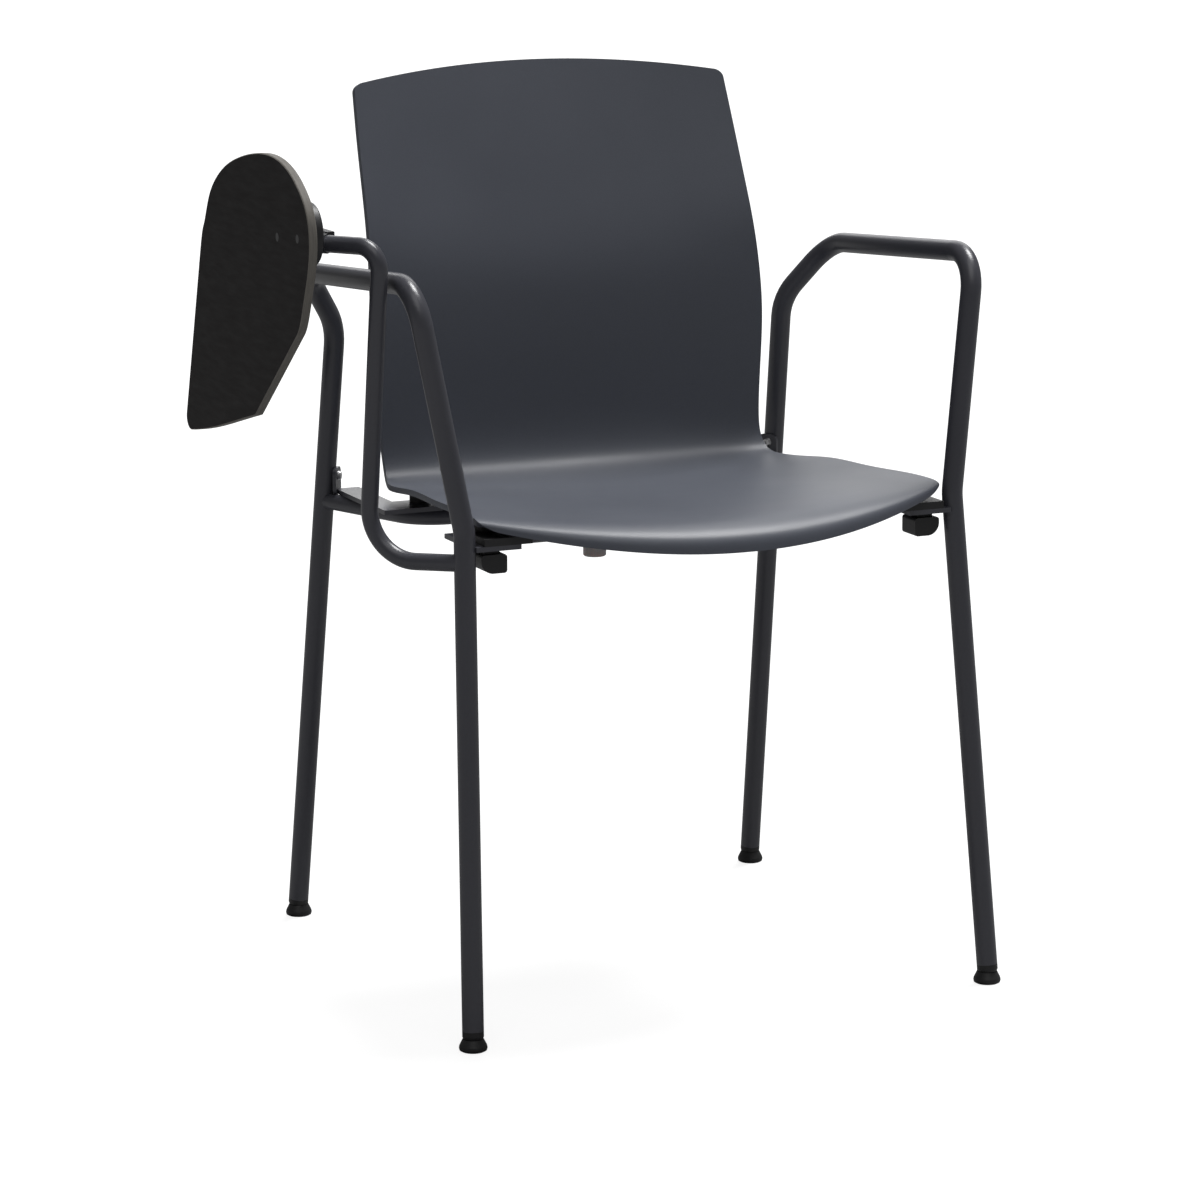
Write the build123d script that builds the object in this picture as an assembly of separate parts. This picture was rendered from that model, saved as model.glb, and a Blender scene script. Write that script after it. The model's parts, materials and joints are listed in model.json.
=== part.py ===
"""Stacking armchair with a folding writing tablet, built as separate pieces.

Working frame while modelling: X = 0 is the chair's middle plane, the front feet stand at Y = 0 and the sitter
faces -Y, Z = 0 is the floor.  +X is the sitter's left.  Before export everything is moved so that the origin
lies under the middle of the whole chair.  Lengths are in millimetres.
"""

import math
import os

from build123d import *

# ---------------------------------------------------------------- driving dimensions
LEG_OD = 20.0  # side frame tube
LEG_WALL = 1.5
ARM_OD = 16.0  # tablet support tube
ARM_WALL = 1.5
CROSS_OD = 16.0  # cross tubes under the seat
CROSS_WALL = 1.5

# Centreline of one side frame (X is mirrored for the other side).
FRONT_FOOT = (266.0, 1.0)
REAR_FOOT = (254.5, 509.0)
FRONT_KINK = (249.0, 50.0, 472.0)
ARM_FRONT = (284.5, 76.0, 696.0)
ARM_REAR = (280.5, 374.0, 675.0)
REAR_BEND = (241.0, 405.5, 617.0)
BEND_RADII = [60.0, 40.0, 50.0, 60.0]

# Foot: a glide with a ball stem that tilts in a plastic insert.
BALL_HEIGHT = 17.0
BALL_R = 4.5
STEM_R = 2.2
DOME_R = 10.6
CUP_R = 11.0
GLIDE_R = 13.2
GLIDE_TOP_R = 9.5
FIT_GAP = 0.06  # radial clearance of a running fit
TUBE_END_UP = 1.2  # from the ball centre to the end of the leg tube, along the leg

# Seat and back shell: stations run from the front lip, over the seat, up to the top of the back.
# Each is (y, z) on the middle line, (y, z) on the side edge, and the half width there.
SHELL_T = 5.5
SHELL_STATIONS = [
    ((-25.0, 447.0), (46.0, 474.5), 232.5),
    ((-21.0, 458.5), (48.5, 479.5), 235.0),
    ((-8.0, 467.5), (56.0, 482.5), 236.0),
    ((16.0, 471.5), (72.0, 483.5), 235.5),
    ((70.0, 470.0), (110.0, 483.0), 232.0),
    ((150.0, 467.0), (178.0, 479.5), 226.5),
    ((240.0, 462.0), (250.0, 477.0), 221.0),
    ((310.0, 458.5), (306.0, 471.0), 216.0),
    ((350.0, 461.0), (342.0, 468.0), 211.5),
    ((376.0, 473.0), (362.0, 470.0), 206.5),
    ((390.0, 497.0), (374.0, 481.0), 203.5),
    ((396.0, 530.0), (381.0, 503.0), 203.5),
    ((398.0, 570.0), (384.0, 552.0), 206.5),
    ((400.0, 610.0), (385.0, 604.0), 209.0),
    ((405.0, 650.0), (389.0, 646.0), 208.5),
    ((416.0, 690.0), (398.0, 690.0), 206.5),
    ((433.0, 737.0), (415.0, 738.0), 204.0),
    ((454.0, 794.0), (436.0, 790.0), 201.5),
    ((480.0, 861.5), (457.0, 845.0), 198.0),
]
SHELL_ACROSS = 8  # steps from the middle line to the edge
BACK_CORNER_R = 8.0
LIP_CORNER_R = 20.0

# Cross tubes and fixings under the seat.
FRONT_CROSS_Y = 104.0
FRONT_CROSS_Z = 454.5
FRONT_CROSS_HALF = 226.0
FRONT_PLATE_Z = 455.0
REAR_CROSS_Z = 440.0
REAR_CROSS_Y = 300.0
REAR_CROSS_HALF = 196.0
REAR_CROSS_BEND = 45.0
PLATE_T = 4.5
FRONT_SCREW = (214.0, 84.0)
REAR_SCREW = (188.0, 321.0)
SPACER_R = 10.0
SCREW_R = 2.5
SCREW_HEAD_R = 4.8
LEG_SCREW_Z = 465.6
LEG_SCREW_WAY = (-0.838, -0.546, 0.0)  # from the left rear leg's axis towards its screw head
PUCK_X = 97.5
PUCK_R = 10.8
PUCK_LOW = 429.7

# Tablet support tube: from the right front leg outwards, up beside the arm and back to the hinge.
SUPPORT_POINTS = [
    (-250.2, 46.7, 444.5),
    (-315.5, 124.0, 440.0),
    (-309.3, 94.0, 730.0),
    (-342.3, 141.7, 730.0),
]
SUPPORT_RADII = [44.0, 21.0]

# Tablet hinge: the lift pin lies along Y, the turn pivot along -X at rest.
LIFT_X = -349.0
LIFT_Z = 733.0
EAR_Y = (148.0, 155.0, 177.0, 184.0)  # faces of the two ears that hold the lift pin
PIN_R = 3.0
KNUCKLE_R = 7.5
PIVOT_Y = 137.0
PIVOT_Z = 740.0
HOUSING_R = 29.0
HOUSING_IN = 8.2  # distances from the lift pin towards the tablet
HOUSING_OUT = 18.0
WASHER_OUT = 19.0
PLATE_IN = 19.3
PLATE_OUT = 23.3
PIVOT_R = 5.0
PIVOT_HEAD_R = 9.0

# Tablet board, in its own plane (y, z): the curve over the top from the front edge to the rear edge, and the
# curve of the bottom edge from the rear corner to the front corner.
TABLET_T = 8.0
TABLET_TOP = [
    (122.8, 650.0),
    (102.5, 681.5),
    (88.8, 711.9),
    (83.9, 741.2),
    (89.5, 762.0),
    (110.0, 783.0),
    (144.6, 800.5),
    (188.1, 807.8),
    (226.6, 806.3),
    (279.1, 797.5),
    (326.0, 782.5),
    (348.0, 770.0),
    (367.0, 751.5),
    (381.0, 728.0),
    (394.5, 701.0),
]
TABLET_BOTTOM = [(455.0, 517.6), (387.1, 527.9), (317.2, 543.6), (243.0, 561.3)]
TABLET_REAR_R = 12.0
TABLET_FRONT_R = 8.0
SWIVEL_BOLTS = [(116.0, 739.0), (170.5, 735.0), (150.0, 700.0)]

SIDES = {"left": 1, "right": -1}
pieces = {}


def mirrored(point, side):
    """A point of the left side of the chair, or its mirror image on the right."""
    return Vector(point[0] * side, point[1], point[2])


def along(start, end, distance):
    """The point at a distance from start on the way to end."""
    return start + (end - start).normalized() * distance


def rod(start, end, radius):
    """A round bar between two points."""
    axis = end - start
    return extrude(Plane(origin=start, z_dir=axis) * Circle(radius), axis.length)


def swept_tube(points, radii, outer, wall):
    """A bent tube and the solid bar of the same outside, along runs joined by tangent arcs."""
    path = FilletPolyline(*points, radius=radii)
    section = Plane(origin=path @ 0, z_dir=path % 0)
    bar = sweep(section * Circle(outer / 2), path=path)
    core = sweep(section * Circle(outer / 2 - wall), path=path)
    return bar - core, bar


def box_between(low, high):
    """An upright box given by two opposite corners."""
    size = [abs(high[i] - low[i]) for i in range(3)]
    middle = [(high[i] + low[i]) / 2 for i in range(3)]
    return Pos(*middle) * Box(*size)


def largest(shape):
    """The largest solid of a shape that a cut has split."""
    return shape.solids().sort_by(SortBy.VOLUME)[-1]


def grouped(shapes):
    """Several separate solids as one node."""
    return Compound(children=[shape.solid() if len(shape.solids()) == 1 else shape for shape in shapes])


# ---------------------------------------------------------------- side frames and feet
def foot_ball(foot, side):
    """The ball centre of a foot's glide."""
    return Vector(foot[0] * side, foot[1], BALL_HEIGHT)


def side_frame(side):
    """One bent tube: front leg, arm and rear leg.  Returns the tube and its solid outline."""
    front = foot_ball(FRONT_FOOT, side)
    rear = foot_ball(REAR_FOOT, side)
    corners = [mirrored(point, side) for point in (FRONT_KINK, ARM_FRONT, ARM_REAR, REAR_BEND)]
    start = along(front, corners[0], TUBE_END_UP)
    end = along(rear, corners[-1], TUBE_END_UP)
    return swept_tube([start, *corners, end], BEND_RADII, LEG_OD, LEG_WALL)


def foot_insert(ball, up):
    """The plastic insert of one leg: a plug in the tube, a collar and a dome with the ball socket."""
    start = ball + up * TUBE_END_UP
    plug = rod(start, start + up * 24, LEG_OD / 2 - LEG_WALL - 0.02)
    collar = rod(ball - up * DOME_R, start, LEG_OD / 2) & Pos(*ball) * Sphere(DOME_R)
    socket = Pos(*ball) * Sphere(BALL_R + FIT_GAP)
    mouth_axis = Plane(origin=ball, z_dir=Vector(0, 0, -1) - up)
    mouth = mouth_axis * Pos(0, 0, 7.5) * Cone(3.1, 6.0, 9)
    return plug + collar - socket - mouth


def glide(ball):
    """The flared glide that stands flat on the floor, with its stem and ball."""
    top_z = BALL_HEIGHT - math.sqrt(CUP_R**2 - GLIDE_TOP_R**2)
    outline = [
        (0, 0),
        (GLIDE_R - 2.2, 0),
        (GLIDE_R - 0.5, 1.0),
        (GLIDE_R, 3.0),
        (GLIDE_R - 0.4, 5.2),
        (GLIDE_TOP_R + 0.2, top_z),
        (0, top_z),
    ]
    profile = Plane.XZ * make_face(Polyline(*outline, close=True))
    skirt = Pos(ball.X, ball.Y) * revolve(profile, axis=Axis.Z)
    cup = Pos(*ball) * Sphere(CUP_R)
    stem = rod(Vector(ball.X, ball.Y, 3), ball, STEM_R)
    return skirt - cup + stem + Pos(*ball) * Sphere(BALL_R)


def add_feet():
    """Four inserts and four glides."""
    legs = {"front": (FRONT_FOOT, FRONT_KINK), "rear": (REAR_FOOT, REAR_BEND)}
    for name, side in SIDES.items():
        for end, (foot, knee) in legs.items():
            ball = foot_ball(foot, side)
            up = (mirrored(knee, side) - ball).normalized()
            pieces[f"foot_insert_{end}_{name}"] = foot_insert(ball, up)
            pieces[f"glide_{end}_{name}"] = glide(ball)


# ---------------------------------------------------------------- seat and back shell
def shell_grid():
    """Points of the sitter's side of the shell: each row is a parabola from edge to edge."""
    steps = [i / SHELL_ACROSS for i in range(-SHELL_ACROSS, SHELL_ACROSS + 1)]
    rows = []
    for middle, edge, half in SHELL_STATIONS:
        rise_y = edge[0] - middle[0]
        rise_z = edge[1] - middle[1]
        rows.append([Vector(half * t, middle[0] + rise_y * t * t, middle[1] + rise_z * t * t) for t in steps])
    return rows


def offset_grid(rows, distance):
    """The same points moved away from the sitter, square to the surface."""
    last_row = len(rows) - 1
    last_step = len(rows[0]) - 1
    moved = []
    for i, row in enumerate(rows):
        moved.append([])
        for j, point in enumerate(row):
            lengthwise = rows[min(i + 1, last_row)][j] - rows[max(i - 1, 0)][j]
            crosswise = row[min(j + 1, last_step)] - row[max(j - 1, 0)]
            moved[-1].append(point - crosswise.cross(lengthwise).normalized() * distance)
    return moved


def corner_cutter(plane, corner, along_a, along_b, radius):
    """What is cut away to round a corner: a wedge outside the circle tangent to both edges."""
    a = Vector(*along_a).normalized()
    b = Vector(*along_b).normalized()
    tip = Vector(*corner)
    half = math.radians(a.get_angle(b) / 2)
    middle = (a + b).normalized()
    reach = radius / math.tan(half)
    out = middle * -2 * radius
    wedge = make_face(Polyline(tip + a * reach, tip + a * reach + out, tip + b * reach + out, tip + b * reach, close=True))
    centre = tip + middle * (radius / math.sin(half))
    return extrude(plane * (wedge - Pos(centre.X, centre.Y) * Circle(radius)), 600, both=True)


def seat_back_shell():
    """The one-piece shell between its two faces, with its four corners rounded."""
    rows = shell_grid()
    upper = Face.make_surface_from_array_of_points(rows, tol=0.01)
    lower = Face.make_surface_from_array_of_points(offset_grid(rows, SHELL_T), tol=0.01)
    faces = [upper, lower]
    for edge in upper.edges():
        middle = edge @ 0.5
        twin = min(lower.edges(), key=lambda other: (other @ 0.5 - middle).length)
        faces.append(Face.make_surface_from_curves(edge, twin))
    shell = Solid(Shell(Face.sew_faces(faces)[0]))
    for side in SIDES.values():
        lip = corner_cutter(Plane.XY, (235.0 * side, 46.0), (0, 1), (-0.85 * side, -0.527), LIP_CORNER_R)
        top = corner_cutter(Plane.XZ, (198.0 * side, 845.0), (0.058 * side, -1), (-side, 0.165), BACK_CORNER_R)
        shell = shell - lip - top
    return largest(shell)


# ---------------------------------------------------------------- frame under the seat
def leg_point(foot, knee, z):
    """The point of a straight leg's centreline at a height."""
    share = (z - BALL_HEIGHT) / (knee[2] - BALL_HEIGHT)
    return (foot[0] + (knee[0] - foot[0]) * share, foot[1] + (knee[1] - foot[1]) * share, z)


def cross_tubes(frame_bars):
    """The straight front tube and the U-shaped rear tube, the latter coped to the legs."""
    ends = [Vector(FRONT_CROSS_HALF * side, FRONT_CROSS_Y, FRONT_CROSS_Z) for side in (-1, 1)]
    bar = rod(*ends, CROSS_OD / 2)
    pieces["front_cross_tube"] = bar - rod(*ends, CROSS_OD / 2 - CROSS_WALL)
    rear = leg_point(REAR_FOOT, REAR_BEND, REAR_CROSS_Z)
    corner = (REAR_CROSS_HALF, REAR_CROSS_Y, REAR_CROSS_Z)
    bent_points = [mirrored(rear, -1), mirrored(corner, -1), mirrored(corner, 1), mirrored(rear, 1)]
    bent, _ = swept_tube(bent_points, [REAR_CROSS_BEND] * 2, CROSS_OD, CROSS_WALL)
    pieces["rear_cross_tube"] = largest(bent - frame_bars)
    return bar


def bolt_up(at, low, high, tip):
    """A screw driven upwards: its button head, its shank and the whole tool that clears its holes."""
    shank = rod(Vector(*at, low), Vector(*at, tip), SCREW_R)
    head = Pos(*at, low) * Sphere(SCREW_HEAD_R * 1.12) & box_between(
        (at[0] - 9, at[1] - 9, low - 2.8), (at[0] + 9, at[1] + 9, low)
    )
    return shank + head, rod(Vector(*at, low - 1), Vector(*at, tip), SCREW_R)


def leg_tab(side, frame_bars):
    """The upright tab of a rear bracket, lying against the leg, and the round screw that holds it there."""
    leg = mirrored(leg_point(REAR_FOOT, REAR_BEND, LEG_SCREW_Z), side)
    way = mirrored(LEG_SCREW_WAY, side).normalized()
    across = Vector(0, 0, 1).cross(way)
    plane = Plane(origin=leg + way * 9.5 - Vector(0, 0, 5), x_dir=across, z_dir=way)
    tab = extrude(plane * RectangleRounded(22, 27, 7), 3.5)
    seat = leg + way * 13
    shank = rod(leg + way * 4, seat, SCREW_R)
    head = Plane(origin=seat, x_dir=across, z_dir=way) * Pos(0, 0, 1.4) * Cone(SCREW_HEAD_R, 3.4, 2.8)
    socket = rod(seat + way * 1.4, seat + way * 3, 1.5)
    return tab - frame_bars, rod(leg + way * 4, seat + way, SCREW_R) + head - socket, shank


def front_pad(side, low):
    """The plastic pad between a front plate and the shell, before the shell is cut out of it."""
    x, y = FRONT_SCREW
    column = rod(Vector(x * side, y, low), Vector(x * side, y, 520), SPACER_R)
    return box_between((187 * side, 38, low), (234 * side, 112, low + 7)) + column


def seat_fixings(shell, frame_bars, front_bar):
    """Brackets, spacers and screws that carry the shell."""
    rear_low = REAR_CROSS_Z + CROSS_OD / 2
    shell_screws = []
    leg_screws = []
    holes = []
    for name, side in SIDES.items():
        plate = box_between((198 * side, 38, FRONT_PLATE_Z), (242 * side, 118, FRONT_PLATE_Z + PLATE_T))
        pieces[f"front_bracket_{name}"] = largest(plate - frame_bars - front_bar)
        tab, leg_screw, shank = leg_tab(side, frame_bars)
        foot = box_between((176 * side, 290, rear_low), (236 * side, 334, rear_low + PLATE_T))
        arm = box_between((212 * side, 330, rear_low), (236 * side, 426, rear_low + PLATE_T))
        pieces[f"rear_bracket_{name}"] = largest(foot + arm - frame_bars + tab) - shank
        pieces[f"side_frame_{name}"] = pieces[f"side_frame_{name}"] - shank
        leg_screws.append(leg_screw)
        rear_spot = (REAR_SCREW[0] * side, REAR_SCREW[1])
        front_spot = (FRONT_SCREW[0] * side, FRONT_SCREW[1])
        column = rod(Vector(*rear_spot, rear_low + PLATE_T), Vector(*rear_spot, 520), SPACER_R)
        pad = front_pad(side, FRONT_PLATE_Z + PLATE_T) - front_bar
        for end, at, low, blank in (("front", front_spot, FRONT_PLATE_Z, pad), ("rear", rear_spot, rear_low, column)):
            spacer = (blank - shell).solids().sort_by(Axis.Z)[0]
            tip = spacer.bounding_box().max.Z + 2.0
            screw, hole = bolt_up(at, low, low + PLATE_T, tip)
            shell_screws.append(screw)
            holes.append(hole)
            pieces[f"{end}_spacer_{name}"] = spacer - hole
            bracket_name = f"{end}_bracket_{name}"
            pieces[bracket_name] = pieces[bracket_name] - hole
    pieces["shell_screws"] = grouped(shell_screws)
    pieces["leg_screws"] = grouped(leg_screws)
    for hole in holes:
        shell = shell - hole
    return largest(shell)


def stacking_bumper(side):
    """The D-shaped bumper that hangs under a front plate on a short neck."""
    outline = Pos(221.25 * side, 441.25) * Rectangle(25.5, 17.5)
    outer_low = min(outline.vertices(), key=lambda corner: corner.Y - corner.X * side)
    others = [corner for corner in outline.vertices() if tuple(corner) != tuple(outer_low)]
    outline = fillet(others, 3)
    outer_low = min(outline.vertices(), key=lambda corner: corner.Y - corner.X * side)
    outline = fillet(outer_low, 12)
    block = extrude(Plane.XZ.offset(-47) * outline, -27)
    neck = box_between((214 * side, 52, 449), (229 * side, 70, FRONT_PLATE_Z))
    return block + neck


def add_bumpers(front_bar):
    """Pads that rest on the chair below in a stack."""
    for name, side in SIDES.items():
        top = Vector(PUCK_X * side, FRONT_CROSS_Y, FRONT_CROSS_Z)
        puck = rod(Vector(PUCK_X * side, FRONT_CROSS_Y, PUCK_LOW), top, PUCK_R)
        puck = chamfer(puck.faces().sort_by(Axis.Z)[0].edges(), 1.0)
        pieces[f"tube_bumper_{name}"] = puck - front_bar
        pieces[f"stacking_bumper_{name}"] = stacking_bumper(side)


# ---------------------------------------------------------------- tablet support and hinge
def cylinder_y(x, z, low, high, radius):
    """A bar parallel to Y."""
    return rod(Vector(x, low, z), Vector(x, high, z), radius)


def cylinder_x(y, z, low, high, radius):
    """A bar parallel to X, from a distance low to a distance high outward of the lift pin."""
    return rod(Vector(LIFT_X - low, y, z), Vector(LIFT_X - high, y, z), radius)


def plate_x(sketch, low, high):
    """A plate in a YZ plane between two distances outward of the lift pin."""
    return Pos(LIFT_X - high) * extrude(Plane.YZ * sketch, high - low)


def disc(y, z, radius):
    """A disc of a sketch on the YZ plane."""
    return Pos(y, z) * Circle(radius)


def hull_of(circles):
    """The outline around a set of circles (y, z, radius)."""
    edges = [edge for y, z, radius in circles for edge in disc(y, z, radius).edges()]
    return make_hull(edges)


def tablet_support(frame_bars):
    """The bent tube that carries the tablet, coped to the right front leg."""
    points = [Vector(*point) for point in SUPPORT_POINTS]
    tube, _ = swept_tube(points, SUPPORT_RADII, ARM_OD, ARM_WALL)
    pieces["tablet_support_tube"] = largest(tube - frame_bars)
    return points[-1], (points[-1] - points[-2]).normalized()


def hinge_body(end, outward):
    """The fixed half of the lift hinge: a spigot in the tube, a shoulder, a block and two ears."""
    spigot = rod(end - outward * 25, end, ARM_OD / 2 - ARM_WALL - 0.02)
    shoulder = rod(end, end + outward * 5, 9.0)
    block = box_between((LIFT_X + 8.2, EAR_Y[0], LIFT_Z - 9), (LIFT_X + 16, EAR_Y[3], LIFT_Z + 7))
    body = spigot + shoulder + block
    for low, high in (EAR_Y[:2], EAR_Y[2:]):
        web = box_between((LIFT_X, low, LIFT_Z - KNUCKLE_R), (LIFT_X + 14, high, LIFT_Z + 6))
        body = body + cylinder_y(LIFT_X, LIFT_Z, low, high, KNUCKLE_R) + web
    return body - cylinder_y(LIFT_X, LIFT_Z, EAR_Y[0] - 1, EAR_Y[3] + 1, PIN_R)


def hinge_arm():
    """The lifting half: a knuckle on the pin, a web and the round housing that carries the turn pivot."""
    low = EAR_Y[1] + 0.3
    high = EAR_Y[2] - 0.3
    knuckle = cylinder_y(LIFT_X, LIFT_Z, low, high, KNUCKLE_R)
    web = box_between((LIFT_X - 10, low + 2, LIFT_Z - 6), (LIFT_X, high - 2, LIFT_Z + 6))
    outline = hull_of([(PIVOT_Y, PIVOT_Z, HOUSING_R), (168.0, LIFT_Z, 12.0)])
    housing = chamfer(plate_x(outline, HOUSING_IN, HOUSING_OUT).faces().sort_by(Axis.X)[-1].edges(), 1.5)
    hollow = cylinder_x(PIVOT_Y, PIVOT_Z, HOUSING_IN + 5.5, HOUSING_OUT + 1, 26.0)
    boss = cylinder_x(PIVOT_Y, PIVOT_Z, HOUSING_IN + 1, HOUSING_OUT, 12.0)
    recess = cylinder_x(PIVOT_Y, PIVOT_Z, HOUSING_IN - 1, HOUSING_IN + 4.3, 9.5)
    bore = cylinder_y(LIFT_X, LIFT_Z, low - 1, high + 1, PIN_R + FIT_GAP)
    pivot = cylinder_x(PIVOT_Y, PIVOT_Z, HOUSING_IN - 1, HOUSING_OUT + 1, PIVOT_R)
    return knuckle + web + (housing - hollow) + boss - recess - bore - pivot


def add_tablet_hinge(end, outward):
    """The two-axis hinge between the support tube and the board."""
    pieces["tablet_hinge_body"] = hinge_body(end, outward)
    pieces["tablet_hinge_pin"] = cylinder_y(LIFT_X, LIFT_Z, EAR_Y[0] - 0.5, EAR_Y[3] + 0.5, PIN_R)
    pieces["tablet_hinge_arm"] = hinge_arm()
    ring = disc(PIVOT_Y, PIVOT_Z, 28.0) - disc(PIVOT_Y, PIVOT_Z, PIVOT_R)
    pieces["tablet_friction_washer"] = plate_x(ring, HOUSING_OUT, WASHER_OUT)
    shank = cylinder_x(PIVOT_Y, PIVOT_Z, HOUSING_IN + 0.4, PLATE_OUT + 0.3, PIVOT_R)
    head = cylinder_x(PIVOT_Y, PIVOT_Z, PLATE_OUT + 0.3, PLATE_OUT + 3.3, PIVOT_HEAD_R)
    pieces["tablet_pivot_bolt"] = shank + head
    nut = Pos(PIVOT_Y, PIVOT_Z) * RegularPolygon(8.0, 6) - disc(PIVOT_Y, PIVOT_Z, PIVOT_R)
    pieces["tablet_pivot_nut"] = plate_x(nut, HOUSING_IN + 0.8, HOUSING_IN + 4.3)


# ---------------------------------------------------------------- tablet
def board_outline():
    """The outline of the board: a curve over the top, straight front and rear edges and a curved bottom edge."""
    rear = Line(TABLET_TOP[-1], TABLET_BOTTOM[0])
    bottom = Spline(*TABLET_BOTTOM)
    front = Line(TABLET_BOTTOM[-1], TABLET_TOP[0])
    top = Spline(*TABLET_TOP, tangents=[front % 1, rear % 0])
    outline = make_face([front, top, rear, bottom])
    for corner, radius in ((TABLET_BOTTOM[0], TABLET_REAR_R), (TABLET_BOTTOM[-1], TABLET_FRONT_R)):
        spot = Vector(*corner)
        outline = fillet(min(outline.vertices(), key=lambda vertex: (Vector(*vertex) - spot).length), radius)
    return outline


def add_tablet():
    """The swivel plate and the board it carries, with its screws and sleeve nuts."""
    plate = hull_of([(116.0, 739.0, 13.0), (170.5, 735.0, 13.0), (150.0, 700.0, 11.0), (PIVOT_Y, PIVOT_Z, 24.0)])
    swivel = plate_x(plate, PLATE_IN, PLATE_OUT)
    swivel = swivel - cylinder_x(PIVOT_Y, PIVOT_Z, PLATE_IN - 1, PLATE_OUT + 1, PIVOT_R + FIT_GAP)
    board = plate_x(board_outline(), PLATE_OUT, PLATE_OUT + TABLET_T)
    faces = board.faces().sort_by(Axis.X)
    board = chamfer(faces[0].edges() + faces[-1].edges(), 0.8)
    board = board - cylinder_x(PIVOT_Y, PIVOT_Z, PLATE_OUT - 1, PLATE_OUT + 4.0, PIVOT_HEAD_R + 1.5)
    screws = []
    sleeves = []
    for y, z in SWIVEL_BOLTS[:2]:
        sleeve = cylinder_x(y, z, PLATE_OUT, PLATE_OUT + TABLET_T, 4.0)
        board = board - sleeve
        sleeves.append(sleeve - cylinder_x(y, z, PLATE_OUT - 1, PLATE_OUT + 5.5, SCREW_R))
    for y, z in SWIVEL_BOLTS:
        screw = swivel_screw(y, z, PLATE_OUT + 5.5)
        swivel = swivel - screw
        board = board - screw
        screws.append(screw - cylinder_x(y, z, PLATE_IN - 1, PLATE_IN + 1.8, 1.5))
    pieces["tablet_swivel_plate"] = swivel
    pieces["tablet_board"] = board
    pieces["tablet_screws"] = grouped(screws)
    pieces["tablet_sleeve_nuts"] = grouped(sleeves)


def swivel_screw(y, z, tip):
    """A countersunk screw, flush with the swivel plate."""
    shank = cylinder_x(y, z, PLATE_IN, tip, SCREW_R)
    plane = Plane(origin=(LIFT_X - PLATE_IN, y, z), z_dir=(-1, 0, 0))
    return shank + plane * Pos(0, 0, 1.4) * Cone(5.0, 2.4, 2.8)


# ---------------------------------------------------------------- assembly
def build():
    """Fill the dictionary of pieces."""
    frame_bars = []
    for name, side in SIDES.items():
        tube, bar = side_frame(side)
        pieces[f"side_frame_{name}"] = tube
        frame_bars.append(bar)
    bars = Compound(children=[bar.solid() for bar in frame_bars])
    add_feet()
    front_bar = cross_tubes(bars)
    shell = seat_back_shell()
    pieces["seat_back_shell"] = seat_fixings(shell, bars, front_bar)
    add_bumpers(front_bar)
    end, outward = tablet_support(bars)
    add_tablet_hinge(end, outward)
    add_tablet()


def export_all():
    """Move the chair over its origin and write one file per piece."""
    os.makedirs("parts", exist_ok=True)
    boxes = [piece.bounding_box() for piece in pieces.values()]
    low = [min(getattr(box.min, axis) for box in boxes) for axis in "XYZ"]
    high = [max(getattr(box.max, axis) for box in boxes) for axis in "XYZ"]
    shift = Pos(-(low[0] + high[0]) / 2, -(low[1] + high[1]) / 2, -low[2])
    for name, piece in pieces.items():
        export_step(shift * piece, f"parts/{name}.step")


build()
export_all()
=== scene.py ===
"""Stacking armchair with a writing tablet: looks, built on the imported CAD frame."""

import json
import math

import bpy
import numpy as np
from mathutils import Matrix, Vector


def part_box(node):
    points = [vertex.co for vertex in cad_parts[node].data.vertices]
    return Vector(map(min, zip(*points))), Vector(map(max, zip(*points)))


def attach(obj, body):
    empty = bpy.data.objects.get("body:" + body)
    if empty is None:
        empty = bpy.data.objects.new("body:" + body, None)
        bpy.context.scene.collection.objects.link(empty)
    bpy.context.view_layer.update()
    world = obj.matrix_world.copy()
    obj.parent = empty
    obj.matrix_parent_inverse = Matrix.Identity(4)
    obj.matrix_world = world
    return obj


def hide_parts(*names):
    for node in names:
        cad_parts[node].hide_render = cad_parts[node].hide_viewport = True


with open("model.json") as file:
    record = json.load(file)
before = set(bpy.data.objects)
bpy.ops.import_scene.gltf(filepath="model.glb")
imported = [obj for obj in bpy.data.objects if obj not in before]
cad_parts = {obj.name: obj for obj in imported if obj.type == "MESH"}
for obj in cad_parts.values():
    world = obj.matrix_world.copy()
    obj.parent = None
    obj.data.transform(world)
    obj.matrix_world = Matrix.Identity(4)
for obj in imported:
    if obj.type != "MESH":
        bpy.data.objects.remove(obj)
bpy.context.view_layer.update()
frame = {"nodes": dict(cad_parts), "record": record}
scene = bpy.context.scene

# The chair's own frame: X = 0 is its middle plane, and the front legs meet the floor at Y = 0. The middle
# of a front glide lies a little behind that line.
GLIDE_MIDDLE_Y = 0.001
shell_low, shell_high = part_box("seat_back_shell")
glide_low, glide_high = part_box("glide_front_left")
CHAIR_X = (shell_low.x + shell_high.x) / 2
CHAIR_Y = (glide_low.y + glide_high.y) / 2 - GLIDE_MIDDLE_Y


def place(x, y, z):
    """A point given in millimetres in the chair's own frame."""
    return Vector((CHAIR_X + x / 1000, CHAIR_Y + y / 1000, z / 1000))


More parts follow.
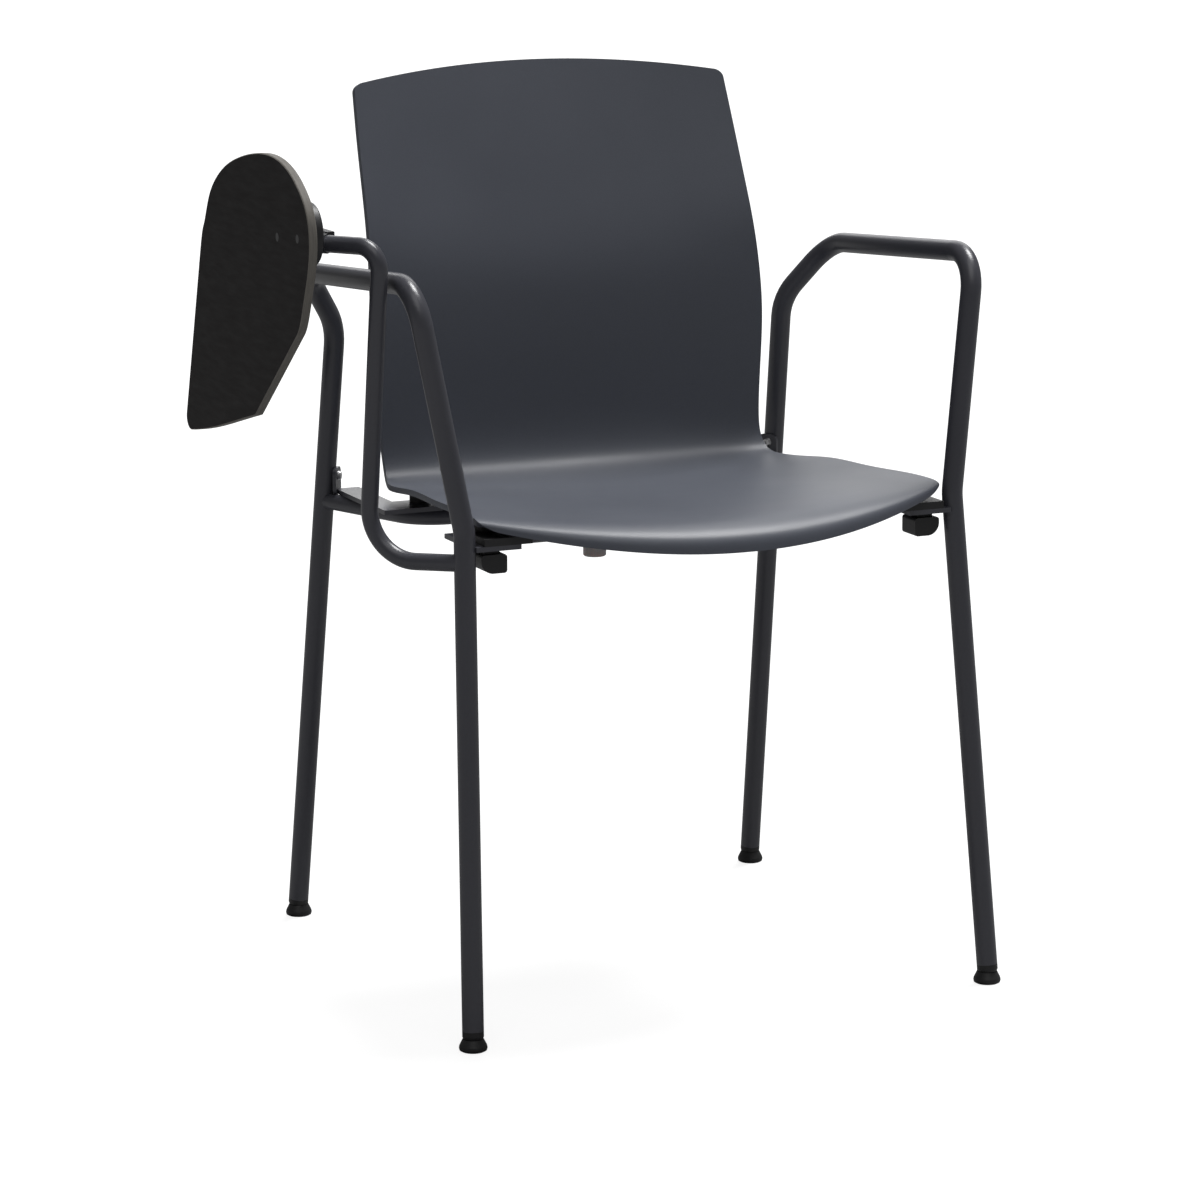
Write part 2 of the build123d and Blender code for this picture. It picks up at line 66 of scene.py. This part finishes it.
# ---------------------------------------------------------------- materials
class Nodes:
    """Short helpers around one material's node tree."""

    def __init__(self, name):
        self.material = bpy.data.materials.new(name)
        self.material.use_nodes = True
        self.tree = self.material.node_tree
        self.shader = self.tree.nodes["Principled BSDF"]
        texture_coordinates = self.add("ShaderNodeTexCoord")
        self.coords = texture_coordinates.outputs["Object"]
        self.normals = texture_coordinates.outputs["Normal"]

    def add(self, kind, **settings):
        """Add a node and set its properties."""
        node = self.tree.nodes.new(kind)
        for key, value in settings.items():
            setattr(node, key, value)
        return node

    def link(self, source, target):
        self.tree.links.new(source, target)

    def set(self, **values):
        """Set the shader's inputs: an underscore stands for a space in an input's name."""
        for key, value in values.items():
            self.shader.inputs[key.replace("_", " ")].default_value = value

    def noise(self, scale, detail=2.0, rough=0.5, coords=None):
        """Cloudy noise, about 0.3 to 0.7."""
        node = self.add("ShaderNodeTexNoise")
        node.inputs["Scale"].default_value = scale
        node.inputs["Detail"].default_value = detail
        node.inputs["Roughness"].default_value = rough
        self.link(coords or self.coords, node.inputs["Vector"])
        return node.outputs["Fac"]

    def cells(self, scale):
        """The distance to the nearest of scattered cell centres."""
        node = self.add("ShaderNodeTexVoronoi")
        node.inputs["Scale"].default_value = scale
        self.link(self.coords, node.inputs["Vector"])
        return node.outputs["Distance"]

    def remap(self, value, low, high, to_low, to_high):
        """Carry the range low to high over to another range."""
        node = self.add("ShaderNodeMapRange")
        self.link(value, node.inputs["Value"])
        ends = {"From Min": low, "From Max": high, "To Min": to_low, "To Max": to_high}
        for key, number in ends.items():
            node.inputs[key].default_value = number
        return node.outputs["Result"]

    def spread(self, noise, to_low=0, to_high=1):
        """A noise spread over the range it is wanted in."""
        return self.remap(noise, 0.3, 0.7, to_low, to_high)

    def stretched(self, x, y, z):
        """The object's coordinates with each axis scaled."""
        node = self.add("ShaderNodeMapping")
        node.inputs["Scale"].default_value = (x, y, z)
        self.link(self.coords, node.inputs["Vector"])
        return node.outputs["Vector"]

    def mix(self, factor, a, b):
        """Mix two colours, each a tuple or a socket."""
        # For colours, inputs 6 and 7 are the node's A and B, and output 2 is its result.
        node = self.add("ShaderNodeMix", data_type="RGBA")
        self.link(factor, node.inputs["Factor"])
        for socket, colour in ((node.inputs[6], a), (node.inputs[7], b)):
            if isinstance(colour, tuple):
                socket.default_value = (*colour, 1)
            else:
                self.link(colour, socket)
        return node.outputs[2]

    def math(self, operation, a, b):
        """Combine two values, each a number or a socket."""
        node = self.add("ShaderNodeMath", operation=operation)
        for socket, value in zip(node.inputs, (a, b)):
            if isinstance(value, (int, float)):
                socket.default_value = value
            else:
                self.link(value, socket)
        return node.outputs[0]

    def bump(self, height, strength, distance, before=None):
        """A bump of a height in metres, on top of an earlier one."""
        node = self.add("ShaderNodeBump")
        node.inputs["Strength"].default_value = strength
        node.inputs["Distance"].default_value = distance
        self.link(height, node.inputs["Height"])
        if before:
            self.link(before, node.inputs["Normal"])
        return node.outputs["Normal"]

    def colour(self, socket):
        self.link(socket, self.shader.inputs["Base Color"])

    def roughness(self, socket):
        self.link(socket, self.shader.inputs["Roughness"])

    def normal(self, socket):
        self.link(socket, self.shader.inputs["Normal"])


def scaled(colour, factor):
    """A lighter or darker colour."""
    return tuple(c * factor for c in colour)


def varied(m, factor, colour, low, high):
    """A colour that goes between two scalings of itself."""
    return m.mix(factor, scaled(colour, low), scaled(colour, high))


def powder_coat(name, colour, rough):
    """Satin powder coat: fine orange peel, with faint changes of shade and gloss."""
    m = Nodes(name)
    broad = m.noise(9.0, 3.0)
    fleck = m.noise(1500.0, 2.0)
    shade = varied(m, m.spread(broad), colour, 0.93, 1.07)
    speck = varied(m, m.remap(fleck, 0.42, 0.62, 0, 1), colour, 0.90, 1.10)
    m.colour(m.mix(m.spread(m.noise(300.0), 0.25, 0.6), shade, speck))
    m.roughness(m.remap(m.math("ADD", broad, fleck), 0.7, 1.3, rough - 0.05, rough + 0.06))
    peel = m.bump(m.noise(700.0, 1.5), 0.22, 0.00012)
    m.normal(m.bump(fleck, 0.12, 0.00005, peel))
    m.set(Specular_IOR_Level=0.5)
    return m.material


def grained_plastic(name, colour, rough, grain=1900.0, strength=0.35):
    """Moulded plastic with a fine spark-eroded grain."""
    m = Nodes(name)
    broad = m.noise(6.0, 3.0)
    cells = m.cells(grain)
    fine = m.noise(grain * 0.8, 2.0)
    grainy = m.math("MULTIPLY", cells, fine)
    shade = varied(m, m.spread(broad), colour, 0.94, 1.06)
    pits = varied(m, m.remap(grainy, 0.08, 0.34, 0, 1), colour, 0.84, 1.10)
    m.colour(m.mix(m.spread(m.noise(420.0), 0.3, 0.65), shade, pits))
    m.roughness(m.spread(broad, rough - 0.04, rough + 0.05))
    soft = m.bump(m.noise(60.0, 2.0), 0.05, 0.0004)
    m.normal(m.bump(grainy, strength, 0.00014, soft))
    m.set(Specular_IOR_Level=0.45)
    return m.material


def laminate(name, colour, edge_highlight):
    """Dark compact laminate with a fine crystal finish and faint streaks, plus a painted highlight: a paler,
    streaked colour on the edges.
    """
    m = Nodes(name)
    streaks = m.noise(160.0, 4.0, 0.6, m.stretched(1.0, 0.16, 1.0))
    crystal = m.cells(1300.0)
    tone = varied(m, m.spread(streaks), colour, 0.86, 1.16)
    face = m.mix(m.remap(crystal, 0.1, 0.6, 0, 0.35), tone, scaled(colour, 0.7))
    # Painted highlight: the board's edges get a paler, streaked colour that stands for the light they catch.
    highlight_streaks = m.noise(1400.0, 3.0, 0.6, m.stretched(1.0, 0.05, 0.05))
    edge = varied(m, m.spread(highlight_streaks), edge_highlight, 0.85, 1.12)
    # The board hangs in the Y-Z plane, so its faces are where the normal lies along X.
    normal = m.add("ShaderNodeSeparateXYZ")
    m.link(m.normals, normal.inputs["Vector"])
    flatness = m.math("ABSOLUTE", normal.outputs["X"], 0.0)
    m.colour(m.mix(m.remap(flatness, 0.80, 0.95, 0, 1), edge, face))
    m.roughness(m.spread(streaks, 0.52, 0.62))
    m.normal(m.bump(crystal, 0.18, 0.00010, m.bump(streaks, 0.06, 0.0002)))
    m.set(Specular_IOR_Level=0.10)
    return m.material


def plated_steel(name, colour, rough):
    """Zinc-plated steel with fine turning marks."""
    m = Nodes(name)
    marks = m.noise(900.0, 4.0, 0.65)
    cloud = m.noise(120.0, 2.0)
    m.colour(varied(m, m.spread(cloud), colour, 0.88, 1.06))
    m.roughness(m.spread(marks, rough - 0.06, rough + 0.12))
    m.normal(m.bump(marks, 0.15, 0.00005))
    m.set(Metallic=1.0)
    return m.material


def translucent(material, weight):
    """Let a little light into a pale plastic."""
    shader = material.node_tree.nodes["Principled BSDF"]
    shader.inputs["Subsurface Weight"].default_value = weight
    return material


FRAME_COLOUR = (0.057, 0.058, 0.070)
HINGE_COLOUR = (0.016, 0.016, 0.018)
SHELL_COLOUR = (0.084, 0.092, 0.114)
TABLET_COLOUR = (0.0125, 0.0105, 0.0105)
# Painted highlight: the paler colour given to the tablet's edges.
TABLET_EDGE_HIGHLIGHT_COLOUR = (0.175, 0.165, 0.150)
FOOT_COLOUR = (0.014, 0.014, 0.015)
BUMPER_COLOUR = (0.34, 0.34, 0.345)
STEEL_COLOUR = (0.55, 0.55, 0.56)

MATERIALS = {
    "frame_paint": powder_coat("frame_powder_coat", FRAME_COLOUR, rough=0.33),
    "hinge_paint": powder_coat("hinge_powder_coat", HINGE_COLOUR, rough=0.45),
    "shell_plastic": grained_plastic("shell_polypropylene", SHELL_COLOUR, rough=0.46),
    "tablet_laminate": laminate("tablet_compact_laminate", TABLET_COLOUR, TABLET_EDGE_HIGHLIGHT_COLOUR),
    "black_plastic": grained_plastic("black_polyamide", FOOT_COLOUR, rough=0.48, grain=1500.0, strength=0.3),
    "bumper_plastic": translucent(
        grained_plastic("bumper_polyethylene", BUMPER_COLOUR, rough=0.42, grain=1200.0, strength=0.2), 0.25),
    "steel_fasteners": plated_steel("zinc_plated_steel", STEEL_COLOUR, rough=0.28),
}


def dress(obj, slot):
    """Put one material on the whole object."""
    if not obj.data.materials:
        obj.data.materials.append(MATERIALS[slot])
    for index in range(len(obj.data.materials)):
        obj.data.materials[index] = MATERIALS[slot]


SLOT_OF = {part["node"]: part["material_slot"] for part in frame["record"]["subparts"]}
for node_name, node_object in frame["nodes"].items():
    dress(node_object, SLOT_OF[node_name])


# ---------------------------------------------------------------- seat and back shell
# Stations from the front lip over the seat to the top of the back, in millimetres in the chair's own frame:
# (y, z) on the middle line, (y, z) on the side edge, half width.
STATIONS = [
    ((-24.9, 447.0), (46.0, 474.5), 232.5),
    ((-21.0, 458.5), (48.5, 479.5), 235.0),
    ((-8.0, 467.5), (56.0, 482.5), 236.0),
    ((16.0, 471.5), (72.0, 483.5), 235.5),
    ((70.0, 470.0), (110.0, 483.0), 232.0),
    ((150.0, 467.0), (178.0, 479.5), 226.5),
    ((240.0, 462.0), (250.0, 477.0), 221.0),
    ((310.0, 458.5), (306.0, 471.0), 216.0),
    ((350.0, 461.0), (342.0, 468.0), 211.5),
    ((376.0, 473.0), (362.0, 470.0), 206.5),
    ((390.0, 497.0), (374.0, 481.0), 203.5),
    ((396.0, 530.0), (381.0, 503.0), 203.5),
    ((398.0, 570.0), (384.0, 552.0), 206.5),
    ((400.0, 610.0), (385.0, 604.0), 209.0),
    ((405.0, 650.0), (389.0, 646.0), 208.5),
    ((416.0, 690.0), (398.0, 690.0), 206.5),
    ((433.0, 737.0), (415.0, 738.0), 204.0),
    ((454.0, 794.0), (436.0, 790.0), 201.5),
    ((480.0, 861.4), (457.0, 845.0), 198.0),
]
SHELL_THICKNESS = 5.5
SHELL_EDGE_RADIUS = 1.4
# Lengths of the rounded corners along the side edges, at the lip and at the top of the back.
LIP_CORNER = 14.0
BACK_CORNER = 8.0
# The grid: even rows between the corners, and columns that crowd towards the side edges.
SHELL_ROWS = 200
SHELL_COLUMNS = 105
COLUMN_CROWDING = 1.25


def cubic_spline(knots, values):
    """A natural cubic spline through the values, as a function."""
    n = len(knots)
    h = np.diff(knots)
    system = np.eye(n)
    right = np.zeros((n, values.shape[1]))
    for i in range(1, n - 1):
        system[i, i - 1], system[i, i], system[i, i + 1] = h[i - 1], 2 * (h[i - 1] + h[i]), h[i]
        right[i] = 6 * ((values[i + 1] - values[i]) / h[i] - (values[i] - values[i - 1]) / h[i - 1])
    second = np.linalg.solve(system, right)

    def at(s):
        i = int(min(max(np.searchsorted(knots, s) - 1, 0), n - 2))
        a, b = (knots[i + 1] - s) / h[i], (s - knots[i]) / h[i]
        bend = ((a**3 - a) * second[i] + (b**3 - b) * second[i + 1]) * h[i] ** 2 / 6
        return a * values[i] + b * values[i + 1] + bend

    return at


def corner_trim(distance, length):
    """How far a rounded corner is drawn in at a distance from the end of the shell."""
    if distance >= length:
        return 0.0
    return length * (1 - math.sqrt(max(0.0, 1 - (1 - distance / length) ** 2)))


def shell_mesh():
    """The sitter's side of the shell as a grid of quads, each row a parabola from edge to edge."""
    values = np.array([[*middle, *edge, half] for middle, edge, half in STATIONS])
    steps = np.linalg.norm(np.diff(values[:, :4], axis=0), axis=1) / math.sqrt(2)
    knots = np.concatenate([[0.0], np.cumsum(steps)])
    at = cubic_spline(knots, values)
    total = knots[-1]
    lip_rows = [LIP_CORNER * (1 - math.cos(math.radians(a))) for a in range(0, 90, 10)]
    back_rows = [total - BACK_CORNER * (1 - math.cos(math.radians(a))) for a in range(80, -1, -10)]
    rows = lip_rows + list(np.linspace(LIP_CORNER, total - BACK_CORNER, SHELL_ROWS)) + back_rows
    columns = np.sin(np.linspace(-1, 1, SHELL_COLUMNS) * COLUMN_CROWDING) / math.sin(COLUMN_CROWDING)
    verts = []
    for s in rows:
        cy, cz, ey, ez, half = at(s)
        trim = corner_trim(s, LIP_CORNER) + corner_trim(total - s, BACK_CORNER)
        for t in columns * (1 - trim / half):
            verts.append(place(half * t, cy + (ey - cy) * t * t, cz + (ez - cz) * t * t))
    width = len(columns)
    faces = []
    for i in range(len(rows) - 1):
        for j in range(width - 1):
            a = i * width + j
            faces.append((a, a + 1, a + width + 1, a + width))
    mesh = bpy.data.meshes.new("shell_moulding")
    mesh.from_pydata(verts, [], faces)
    mesh.update()
    return mesh


def modifier(obj, kind, **settings):
    """Add a modifier and set it."""
    added = obj.modifiers.new(kind.lower(), kind)
    for key, value in settings.items():
        setattr(added, key, value)
    return added


def apply_modifiers(obj):
    """Turn an object's modifiers into mesh."""
    graph = bpy.context.evaluated_depsgraph_get()
    mesh = bpy.data.meshes.new_from_object(obj.evaluated_get(graph))
    obj.modifiers.clear()
    obj.data = mesh


def smooth(obj, angle):
    """Smooth shading with sharp edges kept above an angle."""
    obj.data.shade_smooth()
    obj.data.set_sharp_from_angle(angle=math.radians(angle))


def new_object(name, mesh):
    """An object in the scene."""
    obj = bpy.data.objects.new(name, mesh)
    scene.collection.objects.link(obj)
    return obj


shell = new_object("shell_moulding", shell_mesh())
modifier(shell, "SOLIDIFY", thickness=SHELL_THICKNESS / 1000, offset=-1.0, use_even_offset=True, use_rim=True)
modifier(shell, "BEVEL", width=SHELL_EDGE_RADIUS / 1000, segments=3, limit_method="ANGLE",
         angle_limit=math.radians(50))
apply_modifiers(shell)
smooth(shell, 60)
dress(shell, "shell_plastic")
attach(shell, "frame")
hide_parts("seat_back_shell")


# ---------------------------------------------------------------- stage, light and camera
WHITE = (1, 1, 1, 1)
AMBIENT = 0.16  # light from the surroundings on the chair; seen directly, they are white
FLOOR_HALF_SIZE = 30.0
FLOOR_GREY = (0.28, 0.28, 0.28, 1)
FLOOR_GLOW = 0.86  # added to the floor as it is seen, so that it is white and the bounced light stays low

# Each light: name, the direction it shines along, its angular size in degrees, and its strength.
SUNS = [
    ("key", (-0.42, -0.19, -1.0), 24.0, 3.3),
    ("back", (-0.40, -0.85, -0.45), 40.0, 0.55),
    ("fill", (0.20, 0.55, -1.0), 45.0, 0.62),
]

CAMERA_TURN = (-23.33, 11.37, -0.37)  # azimuth, elevation and roll, in degrees
CAMERA_PLACE = (-1684.8, -3588.2, 1195.4)  # in the chair's own frame, in millimetres
LENS = 131.7
SENSOR_WIDTH = 36.0


def stage_floor():
    """A plain white floor that takes soft shadows."""
    s = FLOOR_HALF_SIZE
    mesh = bpy.data.meshes.new("floor")
    mesh.from_pydata([(-s, -s, 0), (s, -s, 0), (s, s, 0), (-s, s, 0)], [], [(0, 1, 2, 3)])
    floor = new_object("floor", mesh)
    m = Nodes("floor_pale")
    m.set(Base_Color=FLOOR_GREY, Roughness=0.9, Specular_IOR_Level=0.0)
    m.set(Emission_Color=WHITE)
    seen = m.add("ShaderNodeLightPath").outputs["Is Camera Ray"]
    m.link(m.math("MULTIPLY", seen, FLOOR_GLOW), m.shader.inputs["Emission Strength"])
    floor.data.materials.append(m.material)


def sun(name, direction, angle, strength):
    """A soft sun that shines along a direction."""
    data = bpy.data.lights.new(name, "SUN")
    data.energy = strength
    data.angle = math.radians(angle)
    light = bpy.data.objects.new(name, data)
    scene.collection.objects.link(light)
    light.rotation_mode = "QUATERNION"
    light.rotation_quaternion = Vector(direction).to_track_quat("-Z", "Y")


def studio():
    """White surroundings, an overhead key light, a low light from behind and a weak fill from the front."""
    world = bpy.data.worlds.new("studio")
    world.use_nodes = True
    nodes = world.node_tree.nodes
    background = nodes["Background"]
    background.inputs["Color"].default_value = WHITE
    path = nodes.new("ShaderNodeLightPath")
    level = nodes.new("ShaderNodeMapRange")
    level.inputs["To Min"].default_value = AMBIENT
    level.inputs["To Max"].default_value = 1.0
    world.node_tree.links.new(path.outputs["Is Camera Ray"], level.inputs["Value"])
    world.node_tree.links.new(level.outputs["Result"], background.inputs["Strength"])
    scene.world = world
    for light in SUNS:
        sun(*light)
    scene.view_settings.view_transform = "Standard"
    scene.view_settings.look = "None"


def camera():
    """A long lens in front of the chair and to its right, level with the sitter's head."""
    azimuth, elevation, roll = (math.radians(angle) for angle in CAMERA_TURN)
    back = Vector((math.sin(azimuth) * math.cos(elevation), -math.cos(azimuth) * math.cos(elevation),
                   math.sin(elevation)))
    right = Vector((math.cos(azimuth), math.sin(azimuth), 0))
    up = back.cross(right)
    rolled_right = right * math.cos(roll) + up * math.sin(roll)
    rolled_up = up * math.cos(roll) - right * math.sin(roll)
    data = bpy.data.cameras.new("camera")
    data.sensor_width = SENSOR_WIDTH
    data.lens = LENS
    data.clip_end = 100.0
    view = bpy.data.objects.new("camera", data)
    scene.collection.objects.link(view)
    turn = Matrix((rolled_right, rolled_up, back)).transposed().to_4x4()
    view.matrix_world = Matrix.Translation(place(*CAMERA_PLACE)) @ turn
    scene.camera = view


stage_floor()
studio()
camera()
